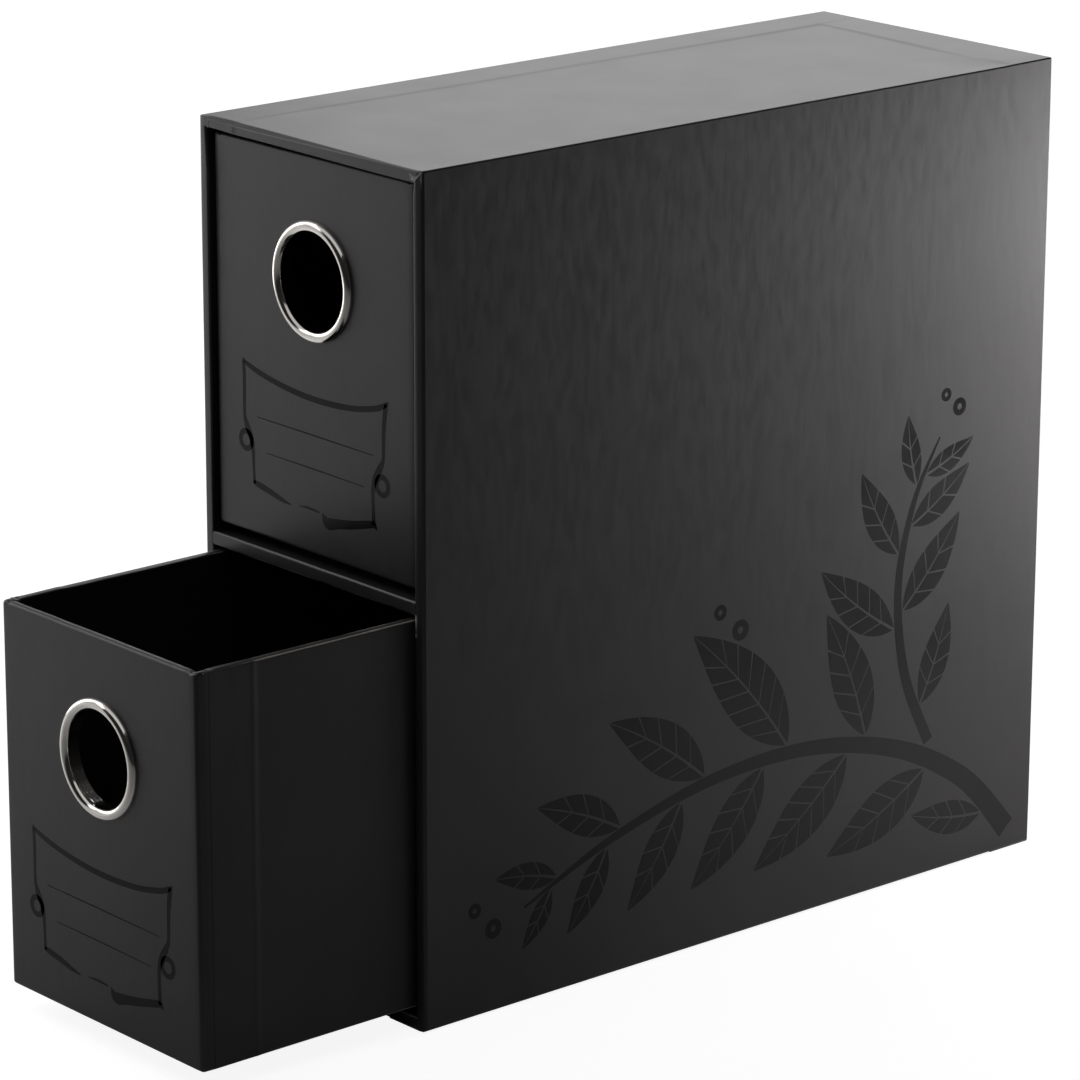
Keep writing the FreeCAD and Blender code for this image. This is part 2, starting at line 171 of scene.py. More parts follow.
paperLook = {
    "dark": (0.0160, 0.0140, 0.0152),
    "light": (0.0222, 0.0198, 0.0212),
    "worn": (0.40, 0.39, 0.385),
    "roughness": (0.33, 0.41),
    "tint": (1, 0.965, 0.985, 1),
    "clouds": 38,                # scales of the noises, finer when larger
    "fibre": 2600,
    "scuffs": 900,
    "fibreDepth": 0.012,
}
coverLook = {
    **paperLook,
    "specular": 0.50,
    "streak": (440, 440, 150),   # short upright streaks
    "streakDepth": 0.018,
    "calmFrom": 213.9,           # between these heights the streaks give way to broad soft clouds
    "calmAbove": 214.5,
    "topClouds": 60,
}
drawerLook = {**paperLook, "specular": 0.42, "streak": (420, 420, 150), "streakDepth": 0.02}


def mattePaper(name, look):
    material, tree, shader, spot = newMaterial(name)
    streaks = noiseOf(tree, stretched(tree, spot, look["streak"]), 1.0)
    mottled = spread(tree, noiseOf(tree, spot, look["clouds"]), 0, 1)
    fibre = noiseOf(tree, spot, look["fibre"], 2)
    if "topClouds" in look:
        axes = tree.nodes.new("ShaderNodeSeparateXYZ")
        tree.links.new(spot, axes.inputs[0])
        onTop = spread(tree, axes.outputs["Z"], 0, 1, look["calmFrom"] * mm, look["calmAbove"] * mm)
        streaks = mixValues(tree, onTop, streaks, spread(tree, noiseOf(tree, spot, look["topClouds"]), 0.45, 0.55))
    rubbed = tree.nodes.new("ShaderNodeAttribute")
    rubbed.attribute_name = "wear"
    scuffed = spread(tree, noiseOf(tree, spot, look["scuffs"]), 0.2, 1.0, 0.35, 0.6)
    colour = blendColours(tree, mottled, look["dark"], look["light"])
    colour = blendColours(tree, mathOf(tree, "MULTIPLY", rubbed.outputs["Fac"], scuffed), colour, look["worn"])
    shader.inputs["Specular Tint"].default_value = look["tint"]
    bumps = bumpFrom(tree, streaks, look["streakDepth"], bumpFrom(tree, fibre, look["fibreDepth"]))
    wireUp(tree, shader, colour, spread(tree, streaks, *look["roughness"]), bumps, look["specular"])
    return material


coverPaper = mattePaper("cover paper", coverLook)
drawerPaper = mattePaper("drawer paper", drawerLook)


def plainLining():
    material, tree, shader, spot = newMaterial("lining paper")
    fibre = noiseOf(tree, spot, 1900, 4, 0.65)
    colour = blendColours(tree, spread(tree, fibre, 0, 1), (0.010, 0.010, 0.010), (0.018, 0.0178, 0.0178))
    roughness = spread(tree, noiseOf(tree, spot, 120), 0.7, 0.85)
    wireUp(tree, shader, colour, roughness, bumpFrom(tree, fibre, 0.02), 0.2)
    return material


def boardLook(name, dark, light, speck):
    material, tree, shader, spot = newMaterial(name)
    pulp = noiseOf(tree, spot, 420, 5, 0.7)
    flecks = noiseOf(tree, stretched(tree, spot, (1500, 700, 1500)), 1.0, 2)
    base = blendColours(tree, spread(tree, pulp, 0, 1), dark, light)
    colour = blendColours(tree, spread(tree, flecks, 0, 0.6, 0.62, 0.72), base, speck)
    wireUp(tree, shader, colour, spread(tree, pulp, 0.85, 0.95), bumpFrom(tree, pulp, 0.06), 0.2)
    return material


def polishedNickel():
    material, tree, shader, spot = newMaterial("polished nickel")
    haze = noiseOf(tree, spot, 260, 4)
    scratches = noiseOf(tree, stretched(tree, spot, (5200, 5200, 900)), 1.0, 2)
    colour = blendColours(tree, spread(tree, haze, 0, 1), (0.80, 0.775, 0.735), (0.72, 0.69, 0.645))
    shader.inputs["Metallic"].default_value = 1.0
    wireUp(tree, shader, colour, spread(tree, haze, 0.08, 0.18), bumpFrom(tree, scratches, 0.0015), 0.5)
    return material


def glossVarnish(name, specular):
    material, tree, shader, spot = newMaterial(name)
    pool = noiseOf(tree, spot, 90, 3)
    peel = noiseOf(tree, spot, 700, 2)
    colour = blendColours(tree, spread(tree, pool, 0, 1), (0.0035, 0.0035, 0.0036), (0.0050, 0.0049, 0.0050))
    wireUp(tree, shader, colour, spread(tree, pool, 0.16, 0.26), bumpFrom(tree, peel, 0.004), specular)
    return material


liningPaper = plainLining()
greyboard = boardLook("greyboard", (0.24, 0.225, 0.20), (0.36, 0.34, 0.31), (0.12, 0.11, 0.10))
blackBoard = boardLook("black board", (0.014, 0.014, 0.014), (0.024, 0.024, 0.024), (0.05, 0.05, 0.05))
nickel = polishedNickel()
varnish = glossVarnish("gloss varnish", 0.13)
sideVarnish = glossVarnish("gloss varnish on the side", 0.30)
print("materials made")


# Ways of working that every piece uses

def nothingPicked():
    if bpy.context.object and bpy.context.object.mode != "OBJECT":
        bpy.ops.object.mode_set(mode="OBJECT")
    bpy.ops.object.select_all(action="DESELECT")


def pickPiece(piece):
    nothingPicked()
    piece.select_set(True)
    bpy.context.view_layer.objects.active = piece


def startEdit(piece):
    pickPiece(piece)
    bpy.ops.object.mode_set(mode="EDIT")


def addBlock(name, low, high):
    nothingPicked()
    low, high = Vector(low) * mm, Vector(high) * mm
    bpy.ops.mesh.primitive_cube_add(size=1, location=(low + high) / 2)
    piece = bpy.context.object
    piece.name = piece.data.name = name
    piece.scale = high - low
    bpy.ops.object.transform_apply(location=True, rotation=True, scale=True)
    return piece


def pick(kind, wanted):
    # selects the vertices, edges or faces that pass the test, which gets their corners in mm
    bpy.ops.mesh.select_mode(type=kind)
    bpy.ops.mesh.select_all(action="DESELECT")
    shape = bmesh.from_edit_mesh(bpy.context.object.data)
    things = {"VERT": shape.verts, "EDGE": shape.edges, "FACE": shape.faces}[kind]
    found = 0
    for thing in things:
        corners = [thing.co / mm] if kind == "VERT" else [v.co / mm for v in thing.verts]
        if wanted(*corners) if kind == "EDGE" else wanted(sum(corners, Vector()) / len(corners)):
            thing.select_set(True)
            found += 1
    shape.select_flush_mode()
    bmesh.update_edit_mesh(bpy.context.object.data)
    return found


def deleteFaces(wanted):
    pick("FACE", wanted)
    bpy.ops.mesh.delete(type="FACE")


def foldOut(wanted, place):
    # extrudes the edges that pass the test, and puts each new corner where place says
    pick("EDGE", wanted)
    bpy.ops.mesh.extrude_edges_move()
    shape = bmesh.from_edit_mesh(bpy.context.object.data)
    for corner in shape.verts:
        if corner.select:
            corner.co = Vector(place(*(corner.co / mm))) * mm
    bmesh.update_edit_mesh(bpy.context.object.data)


def cutAcross(axis, stations):
    # cuts the sheet along planes across an axis
    normal = Vector([float(i == axis) for i in range(3)])
    for station in stations:
        bpy.ops.mesh.select_all(action="SELECT")
        bpy.ops.mesh.bisect(plane_co=normal * station * mm, plane_no=normal, threshold=1e-7)


def near(value, level, margin=0.02):
    return abs(value - level) < margin


def bothAt(a, b, **levels):
    # whether both ends of an edge lie at the given levels, such as z=rim
    return all(near(getattr(end, axis), level) for end in (a, b) for axis, level in levels.items())


def onSides(a, b, half):
    # whether an edge lies in the left or the right face of a piece this far out
    return near(abs(a.x), half) and near(b.x, a.x)


def roundFold(width, segments, wanted):
    if pick("EDGE", wanted):
        bpy.ops.mesh.bevel(offset=width * mm, segments=segments, profile=0.5, affect="EDGES", clamp_overlap=False)


def roundFolds(piece, width, segments, shares):
    # rounds several folds at once, each to its own share of the width
    for share, wanted in shares:
        pick("EDGE", wanted)
        bpy.ops.transform.edge_bevelweight(value=share)
    bpy.ops.object.mode_set(mode="OBJECT")
    rounding = piece.modifiers.new("folds", "BEVEL")
    rounding.limit_method = "WEIGHT"
    rounding.width = width * mm
    rounding.segments = segments
    rounding.profile = 0.5
    rounding.use_clamp_overlap = False
    applyModifiers(piece)
    startEdit(piece)


def sew(margin=0.001):
    bpy.ops.mesh.select_all(action="SELECT")
    bpy.ops.mesh.remove_doubles(threshold=margin * mm)


def moveCorners(piece, place):
    # moves vertices in code, for steps, waves and sagging
    for corner in piece.data.vertices:
        corner.co = Vector(place(*(corner.co / mm))) * mm


def applyModifiers(piece):
    pickPiece(piece)
    for modifier in list(piece.modifiers):
        bpy.ops.object.modifier_apply(modifier=modifier.name)


def thicken(piece, sheet):
    # gives a sheet its thickness, inwards from the face that shows
    bpy.ops.object.mode_set(mode="OBJECT")
    solid = piece.modifiers.new("sheet", "SOLIDIFY")
    solid.thickness = sheet * mm
    solid.offset = -1
    solid.use_even_offset = True
    applyModifiers(piece)


def finish(piece, body, material, stands=(), angle=35):
    pickPiece(piece)
    bpy.ops.object.shade_smooth_by_angle(angle=math.radians(angle))
    weighted = piece.modifiers.new("flat faces first", "WEIGHTED_NORMAL")
    weighted.keep_sharp = True
    applyModifiers(piece)
    piece.data.materials.clear()
    piece.data.materials.append(material)
    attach(piece, body)
    if stands:
        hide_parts(*stands)


def markWear(piece, amount):
    # how rubbed each corner of the paper is, from 0 to 1
    layer = piece.data.attributes.get("wear") or piece.data.attributes.new("wear", "FLOAT", "POINT")
    layer.data.foreach_set("value", [amount(*(v.co / mm)) for v in piece.data.vertices])


def copyPiece(piece, name, shift):
    twin = piece.copy()
    twin.data = piece.data.copy()
    twin.name = twin.data.name = name
    twin.data.transform(Matrix.Translation(Vector(shift) * mm))
    bpy.context.collection.objects.link(twin)
    return twin


def wave(x, y, z, pitch, depth):
    return depth * noise.noise(Vector((x, y, z)) / pitch)


def easeStep(value, low, high):
    share = min(1, max(0, (value - low) / (high - low)))
    return share * share * (3 - 2 * share)


def alongLine(points, value):
    # height of a broken line through (place, height) points
    for (a, first), (b, second) in zip(points, points[1:]):
        if value <= b:
            return first + (second - first) * max(0, (value - a) / (b - a))
    return points[-1][1]


# Case papers

caseSize = {
    "side": 42.4,
    "front": -106.25,
    "back": 106.25,
    "top": 215.0,
    "bottom": 0.2,
    "bay": 39.8,                 # half the opening's width
    "ceiling": 212.4,
    "stripEnd": -94.25,          # how far the papers run into the bays
    "lapEnd": 29.0,              # and under the base
    "backEdge": 105.5,
    "sheet": 0.2,
    "boardFront": -106.05,       # the boards under the papers
    "boardBack": 105.85,
    "boardTop": 214.6,
    "boardFold": 1.4,
}

mainCover = {
    "leftEdge": -42.3,
    "edgeRound": 0.3,            # that cut edge's upper corner
    "cornerRound": 0.9,          # the top's left front corner, seen from above
    "tabSeam": -38.3,            # left of it the lip is the left cover's
    "sink": 0.13,                # how much lower the sheet lies where no lap is under it
    "sinkBack": 0.07,            # and how much more towards the back
    "lipSink": 0.07,
    "slope": 1.15,               # half the width of the step over a lap's edge
    "sideLap": ((-106.25, -28.0), (-100, -30.2), (-92.5, -30.4), (-70, -29.6), (-30, -29.0), (20, -29.2),
                (60, -28.9), (93, -29.4), (107, -29.4)),
    "backLap": ((-43, 92.2), (-30.6, 92.6), (-16, 91.9), (-3.7, 91.1), (8.7, 90.6), (22, 89.2), (33.2, 88.3),
                (37, 89.8), (39.3, 91.9), (43, 96)),
    "outerFold": 0.9,
    "sharper": 0.5,              # the top's two folds, as a share of that
    "innerFold": 0.3,
    "crease": ((-40.0, -106.2), (-37.4, -104.3), (-20, -104.3), (10, -105.1), (34, -106.2)),
    "creaseFall": 0.3,           # the slope from there down to the lip
    "mitreFold": 0.3,
    "mitreRise": 0.10,
    "lipRound": (0.133, 0.3),    # the right lip towards the side: how fast, and how far at most
    "lipLean": 0.02,             # the top lip
    "lipIn": 0.3,                # how far the right lip's inner edge bulges into the bay
    "lipDown": (0.25, 0.4),      # and the top lip's, from its left end on and towards the right
    "printRoom": 0.03,           # the side lies this much lower, so that the print stays within the case's size
    # a lighter strip on the right lip's inner edge, between these heights just below the divider
    "lighterBelowDivider": (101.2, 106.4),
}


def creaseDrop(x, y):
    # how far the top slopes down between the crease and the lip
    ahead = alongLine(mainCover["crease"], x) - max(y, caseSize["front"] + 0.3)
    return mainCover["creaseFall"] * max(0, ahead)


def layPaper(piece, node, settle=None, wear=lambda x, y, z: 0.0):
    if settle:
        moveCorners(piece, settle)
    markWear(piece, wear)
    finish(piece, "case", coverPaper, [node])


def buildMainCover():
    c, m = caseSize, mainCover
    side, front, top, bay, ceiling = c["side"], c["front"], c["top"], c["bay"], c["ceiling"]
    piece = addBlock("main_cover", (-side, front, c["bottom"]), (side, c["backEdge"], top))
    startEdit(piece)
    deleteFaces(lambda p: not (near(p.z, top) or near(p.x, side)))
    stepOffsets = [k * m["slope"] / 4 for k in range(-4, 5)]
    seam = m["tabSeam"]
    cutAcross(0, [-29.4 + 1.3 * k for k in stepOffsets] + [-34.5, -25.5, seam] + [-22 + 4 * k for k in range(16)])
    cutAcross(0, [-42.2, -42.1, -41.9, -41.5, -40.5])
    cutAcross(1, [90.9 + 1.6 * k for k in stepOffsets] + [-104 + 5.5 * k for k in range(35)])
    cutAcross(1, [-105.3, -105.0, -104.7, -104.4, -104.2])
    cutAcross(2, [6 + 7 * k for k in range(28)] + [198.5 + 1.5 * k for k in range(9)] + [100.8, 101.4, 106.2, 106.8])
    pastSeam = lambda a, b: bothAt(a, b, y=front) and min(a.x, b.x) > seam - 0.01
    innerEdges = lambda a, b: bothAt(a, b, y=front, z=ceiling) or bothAt(a, b, y=front, x=bay)
    foldOut(pastSeam, lambda x, y, z: (min(x, bay), y, min(z, ceiling)))
    foldOut(innerEdges, lambda x, y, z: (x, c["stripEnd"], z))
    foldOut(lambda a, b: bothAt(a, b, z=c["bottom"], x=side), lambda x, y, z: (c["lapEnd"], y, z))
    sew()
    cutAcross(0, [40.45, 40.8, 41.15])
    roundFolds(piece, m["outerFold"], 4, (
        (m["sharper"], lambda a, b: bothAt(a, b, z=top) and (bothAt(a, b, x=side) or pastSeam(a, b))),
        (1.0, lambda a, b: bothAt(a, b, x=side) and (bothAt(a, b, y=front) or bothAt(a, b, z=c["bottom"]))),
    ))
    roundFold(m["innerFold"], 3, innerEdges)
    # mitre where the two lips meet, a fine groove
    onMitre = lambda p: near(p.y, front) and near(p.x - bay, p.z - ceiling, 0.04) and p.x > bay + 0.1
    roundFold(m["mitreFold"], 4, lambda a, b: onMitre(a) and onMitre(b))
    thicken(piece, c["sheet"])

    def settle(x, y, z):
        # the sheet sinks beside the laps that lie under it, and follows the folds
        lapX, lapY, slope = alongLine(m["sideLap"], y), alongLine(m["backLap"], x), m["slope"]
        raised = max(1 - easeStep(x, lapX - slope, lapX + slope), easeStep(y, lapY - slope * 0.9, lapY + slope * 0.9))
        raised = max(raised, easeStep(x, 38.5, 41.0) * easeStep(y, 88, 97))
        z -= (m["sink"] + m["sinkBack"] * easeStep(y, 20, 80)) * (1 - raised) * easeStep(z, top - 1.2, top - 0.25)
        z -= creaseDrop(x, y) * easeStep(z, top - 1.4, top - 0.3)
        onLip = 1 - easeStep(y, front + 0.15, front + 0.9)
        y += m["lipSink"] * easeStep(x, -29.0, -28.0) * onLip
        radius = m["edgeRound"]
        if x < m["leftEdge"] + radius and z > top - 1:
            x = max(x, m["leftEdge"])
            z -= radius - math.sqrt(max(0, radius ** 2 - (x - m["leftEdge"] - radius) ** 2))
        # the left corner is as round as the fold below it
        radius = m["cornerRound"]
        middleX, middleY = m["leftEdge"] + radius, front + radius
        away = math.hypot(x - middleX, y - middleY)
        if x < middleX and y < middleY and away > radius:
            x, y = middleX + (x - middleX) * radius / away, middleY + (y - middleY) * radius / away
        # the right lip rounds off towards the side, and the top one leans back
        outward, upward = x - bay, z - ceiling
        beside = easeStep(outward - upward, -0.8, 0.2)
        atLips = 1 - easeStep(y, front + 1.0, front + 2.2)
        rate, most = m["lipRound"]
        y += atLips * beside * min(most, rate * max(0, outward - 0.1) ** 2)
        y += atLips * (1 - beside) * m["lipLean"] * max(0, upward)
        # their inner edges bulge into the bay
        intoBay = 1 - easeStep(y, front + 1, front + 7)
        x -= (m["lipIn"] * (1 - easeStep(outward, 0.25, 0.6)) * easeStep(outward, -0.3, -0.1)
              * intoBay * easeStep(-upward, 0.5, 3))
        if x < bay + 0.02:
            hang = m["lipDown"][0] * easeStep(x, -36, -28) + m["lipDown"][1] * easeStep(x, -25, 36)
            z -= hang * (1 - easeStep(upward, 0.15, 0.6)) * easeStep(upward, -0.5, -0.25) * intoBay
        x -= m["printRoom"] * easeStep(x, bay + 0.6, side - 0.4)
        # and are a little wavy
        if x < 41 and x > bay - 0.1 and y < front + 1.5:
            x += (wave(0, 0, z, 3.2, 0.22) * easeStep(z, 190, 199) * (1 - easeStep(z, 208, 211))
                  + wave(0, 3, z, 16, 0.08))
        if onLip > 0.5 and z < top - 1.2 and z > ceiling - 0.3 and x < 40:
            z += wave(x, 5, 0, 14, 0.07)
        mitre = abs((x - bay) - (z - ceiling))
        if mitre < 0.045 and x > bay + 0.15 and x < side - 0.3 and y < front + 0.45:
            y += m["mitreRise"]
        return x, y, z

    def rubbed(x, y, z):
        mitre = abs((x - bay) - (z - ceiling))
        if y < front + 0.75 and x > bay - 0.2 and z > ceiling - 0.4 and mitre < 0.33:
            return 1.0
        # a lighter strip on the right lip's inner edge just below the divider
        low, high = m["lighterBelowDivider"]
        return 0.9 if y < front + 0.6 and bay - 0.4 < x < bay + 0.12 and low < z < high else 0.0

    layPaper(piece, "case_main_cover", settle, rubbed)


leftCover = {
    "topEdge": -31.6,
    "seamGap": 0.12,
    "outerFold": 0.9,
    "sharper": 0.5,
    "innerFold": 0.6,
    "lipIn": 0.72,               # how far the lip bulges into the bay
}


def buildLeftCover():
    c, m = caseSize, leftCover
    side, front, bay, ceiling = c["side"], c["front"], c["bay"], c["ceiling"]
    lapTop = c["top"] - c["sheet"]
    seam = mainCover["tabSeam"] - m["seamGap"]
    piece = addBlock("left_cover", (-side, front, c["bottom"]), (m["topEdge"], c["backEdge"], lapTop))
    startEdit(piece)
    deleteFaces(lambda p: near(p.x, m["topEdge"]) or near(p.y, front) or near(p.y, c["backEdge"]))
    cutAcross(0, [-bay, seam])
    cutAcross(2, [6 + 7 * k for k in range(29)] + [ceiling])
    cutAcross(1, [-104 + 7 * k for k in range(30)])
    foldOut(lambda a, b: bothAt(a, b, y=front, x=-side), lambda x, y, z: (-bay, y, z))
    inner = lambda a, b: bothAt(a, b, y=front, x=-bay)
    onLip = lambda a, b: inner(a, b) and max(a.z, b.z) < ceiling + 0.01
    foldOut(lambda a, b: inner(a, b) and min(a.z, b.z) > ceiling - 0.01, lambda x, y, z: (seam, y, z))
    foldOut(onLip, lambda x, y, z: (x, c["stripEnd"], z))
    sew()
    roundFolds(piece, m["outerFold"], 4, (
        (1.0, lambda a, b: bothAt(a, b, x=-side) and (bothAt(a, b, z=c["bottom"]) or bothAt(a, b, y=front))),
        (m["sharper"], lambda a, b: bothAt(a, b, z=lapTop)
         and (bothAt(a, b, x=-side) or bothAt(a, b, y=front) and max(a.x, b.x) < seam + 0.01)),
    ))
    roundFold(m["innerFold"], 3, onLip)
    thicken(piece, c["sheet"])

    def settle(x, y, z):
        z -= creaseDrop(x, y) * easeStep(z, lapTop - 1.4, lapTop - 0.3)
        if y < front + 1.0:
            y += wave(x, 0, z, 22, 0.05)
        if x > -40.6 and x < -39 and z < ceiling + 0.1:
            bulge = m["lipIn"] + wave(7, 0, z, 18, 0.08)
            x += bulge * (1 - easeStep(y, front + 1, front + 7)) * easeStep(ceiling - z, -0.2, 1.5)
        return x, y, z

    rubbed = lambda x, y, z: 0.5 if x < -41.6 and y < front + 0.6 and z > lapTop - 1.5 else 0.0
    layPaper(piece, "case_left_cover", settle, rubbed)


backCover = {"half": 42.2, "flapStart": 91.45, "sheet": 0.15, "outerFold": 0.7, "flapFold": 0.4}


def buildBackCover():
    c, m = caseSize, backCover
    half, back, high = m["half"], c["back"], c["top"] - c["sheet"]
    piece = addBlock("back_cover", (-half, m["flapStart"], c["bottom"]), (half, back, high))
    startEdit(piece)
    deleteFaces(lambda p: near(p.y, m["flapStart"]))
    cutAcross(0, [-36 + 9 * k for k in range(9)])
    cutAcross(2, [12 + 12 * k for k in range(17)])
    atEnds = lambda a, b: near(a.z, b.z, 0.001) and (near(a.z, high) or near(a.z, c["bottom"]))
    roundFold(m["outerFold"], 4, lambda a, b: bothAt(a, b, y=back) and (onSides(a, b, half) or atEnds(a, b)))
    roundFold(m["flapFold"], 2, lambda a, b: max(a.y, b.y) < back - 0.8 and onSides(a, b, half) and atEnds(a, b))
    thicken(piece, m["sheet"])
    settle = lambda x, y, z: (x, y - (0.03 + wave(x, 0, z, 35, 0.05)) if y > back - 0.3 else y, z)
    rubbed = lambda x, y, z: 0.35 if abs(x) > 41.5 and y > 105.4 and (z > high - 2.5 or z < 3) else 0.0
    layPaper(piece, "case_back_cover", settle, rubbed)


edgeWrap = {"fold": 0.62, "sheet": 0.18, "back": 0.05}


def buildEdgeWrap(name, low, high, node):
    # a strip folded round the front edge of a shelf
    bay, front, end = caseSize["bay"], caseSize["front"], caseSize["stripEnd"]
    piece = addBlock(name, (-bay, front, low), (bay, end, high))
    startEdit(piece)
    deleteFaces(lambda p: near(p.y, end) or near(abs(p.x), bay))
    cutAcross(0, [-38 + 2 * k for k in range(39)])
    roundFold(edgeWrap["fold"], 4, lambda a, b: bothAt(a, b, y=front) and near(a.z, b.z, 0.001)
              and (near(a.z, high) or near(a.z, low)))
    thicken(piece, edgeWrap["sheet"])

    def settle(x, y, z):
        if y < front + 0.9:
            y += edgeWrap["back"] + wave(x, 0, low, 11, 0.06)
            z += wave(x, 9, low, 9, 0.05)
        return x, y, z

    layPaper(piece, node, settle)


def buildBaseSheet():
    halfWide, halfLong, corner = 41.3, 105.1, 2.5
    piece = addBlock("base_sheet", (-halfWide, -halfLong, 0), (halfWide, halfLong, caseSize["bottom"]))
    startEdit(piece)
    roundFold(corner, 5, lambda a, b: near(a.x, b.x, 0.001) and near(a.y, b.y, 0.001))
    cutAcross(0, [-30 + 10 * k for k in range(7)])
    cutAcross(1, [-90 + 15 * k for k in range(13)])
    bpy.ops.object.mode_set(mode="OBJECT")
    layPaper(piece, "case_base_sheet")


def buildBoard(name, low, high, shares, place=None):
    # a greyboard panel with its edges eased where the paper's fold is round
    piece = addBlock(name, low, high)
    startEdit(piece)
    cutAcross(1, [low[1] + 2.25])
    roundFolds(piece, caseSize["boardFold"], 3, shares)
    bpy.ops.object.mode_set(mode="OBJECT")
    if place:
        moveCorners(piece, place)
    return piece


def buildCaseBoards():
    front, back, top = caseSize["boardFront"], caseSize["boardBack"], caseSize["boardTop"]
    outer, inner, under = 42, 40, 212.6
    right = buildBoard("right_board", (inner, front, 0.4), (outer, back, top),
                       [(1.0, lambda a, b: bothAt(a, b, y=front, x=outer))])
    finish(right, "case", greyboard, ["case_right_board"])
    roof = buildBoard("top_board", (-inner, front, under), (inner, back, top),
                      [(0.3, lambda a, b: bothAt(a, b, y=front, z=under))],
                      lambda x, y, z: (x, y, z - 0.9) if y < -105.9 and z > 214 else (x, y, z))
    finish(roof, "case", greyboard, ["case_top_board"])


buildCaseBoards()
buildMainCover()
buildLeftCover()
buildBackCover()
buildEdgeWrap("divider_front_wrap", 106.2, 109.8, "divider_edge_wrap")
buildEdgeWrap("floor_front_wrap", 0.2, 3.6, "floor_edge_wrap")
buildBaseSheet()
print("case papers folded")


# Drawer papers, modelled on the lower drawer and copied for the upper one

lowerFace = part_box("lower_drawer_front_sheet")[0] / mm
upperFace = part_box("upper_drawer_front_sheet")[0] / mm
upperShift = upperFace - lowerFace

drawerSize = {
    "half": 38.7,
    "wall": 2.4,
    "height": 99.2,
    "length": 207.9,
    "turnIn": 15.0,
    "flap": 16.0,
    "sink": 0.13,
    "wrapStart": 3.9,            # the side wrap's cut edge, behind the face
    "stepAt": 17.0,
    "proud": 0.07,               # how far the wrap stands out over the flaps
    "sheet": 0.1,
    "fold": 1.0,
    "leftFold": 0.82,            # shares of that for the face's left edge,
    "sideFold": 0.62,            # for the sides' upper and lower edges
    "rimFold": 0.8,              # and for the rim's inner edge
    "wrapFold": 0.62,
    "wrapRim": 0.55,
    "crown": (0.007, 0.018),     # how fast the face rounds off towards its left and right edges
    "notch": 0.35,
    "hole": 12.7,
    "holeHeight": 68.5,
}


def buildFrontSheet():
    d = drawerSize
    half, face, under, wall = d["half"], lowerFace.y, lowerFace.z, d["wall"]
    rim, inner = under + d["height"], half - wall
    piece = addBlock("lower_front_paper", (-half, face, under), (half, face + wall, rim))
    startEdit(piece)
    deleteFaces(lambda p: near(p.y, face + wall))
    cutAcross(0, [-inner, inner])
    cutAcross(0, [-33 + 6.6 * k for k in range(11)] + [sign * at for sign in (-1, 1) for at in (35.4, 36.9, 37.35)])
    cutAcross(2, [under + 8 + 8 * k for k in range(11)])
    back = lambda a, b: bothAt(a, b, y=face + wall)
    rimInside = lambda a, b: back(a, b) and bothAt(a, b, z=rim) and max(abs(a.x), abs(b.x)) < inner + 0.01
    rimCorners = lambda a, b: back(a, b) and bothAt(a, b, z=rim) and min(abs(a.x), abs(b.x)) > inner - 0.01
    foldOut(rimInside, lambda x, y, z: (x, y, z - d["turnIn"]))
    foldOut(lambda a, b: back(a, b) and (onSides(a, b, half) or bothAt(a, b, z=under)),
            lambda x, y, z: (x, face + d["flap"], min(z, rim - 0.35)))
    foldOut(rimCorners, lambda x, y, z: (x, face + 5.2, z))
    sew()
    cutAcross(1, [face + 0.3 * k for k in range(9, 16)])
    level = lambda a, b: near(a.z, b.z, 0.001) and (near(a.z, rim) or near(a.z, under))
    outer = lambda a, b: bothAt(a, b, y=face) and (onSides(a, b, half) or level(a, b))
    roundFolds(piece, d["fold"], 5, (
        (d["sideFold"], lambda a, b: onSides(a, b, half) and (bothAt(a, b, z=rim) or bothAt(a, b, z=under))),
        (d["leftFold"], lambda a, b: outer(a, b) and bothAt(a, b, x=-half)),
        (1.0, lambda a, b: outer(a, b) and not bothAt(a, b, x=-half)),
        (d["rimFold"], rimInside),
    ))
    thicken(piece, d["sheet"])

    def settle(x, y, z):
        # the face's edges round off, the right one more, and the side leans in towards the face
        behind = y - face
        if behind < 1.4:
            y += d["crown"][x > 0] * max(0, abs(x) - 35.4) ** 2
        if abs(x) > half - 1.2:
            lean = d["sink"] * easeStep(behind, 0.3, 1.0) + 0.02 * max(0, d["wrapStart"] - max(behind, 1.0)) ** 2
            x -= math.copysign(lean * easeStep(abs(x), half - 1.2, half - 0.25), x)
        if z > rim - 0.8 and behind > 2.6:
            z -= d["sink"] * easeStep(behind, 2.6, 3.6)
        if z > rim - 0.8:
            z += wave(x, y, 0, 9, 0.10) * (1 - easeStep(abs(x), 37.5, 38.4))
            # the rim's two notches, where the folded corner meets the straight rim
            z -= d["notch"] * math.exp(-((abs(x) - 36.4) / 0.35) ** 2)
        return x, y, z

    moveCorners(piece, settle)
    cutHole(piece, face)
    markWear(piece, lambda x, y, z: 0.22 * easeStep(z, rim - 0.5, rim) if abs(x) > 37.6 and y < face + 0.8 else 0.0)
    return piece


def cutHole(piece, face):
    nothingPicked()
    d = drawerSize
    bpy.ops.mesh.primitive_cylinder_add(
        vertices=96, radius=d["hole"] * mm, depth=8 * mm, rotation=(math.radians(90), 0, 0),
        location=Vector((0, face, lowerFace.z + d["holeHeight"])) * mm,
    )
    drill = bpy.context.object
    hole = piece.modifiers.new("finger hole", "BOOLEAN")
    hole.operation = "DIFFERENCE"
    hole.solver = "EXACT"
    hole.object = drill
    applyModifiers(piece)
    bpy.data.objects.remove(drill)


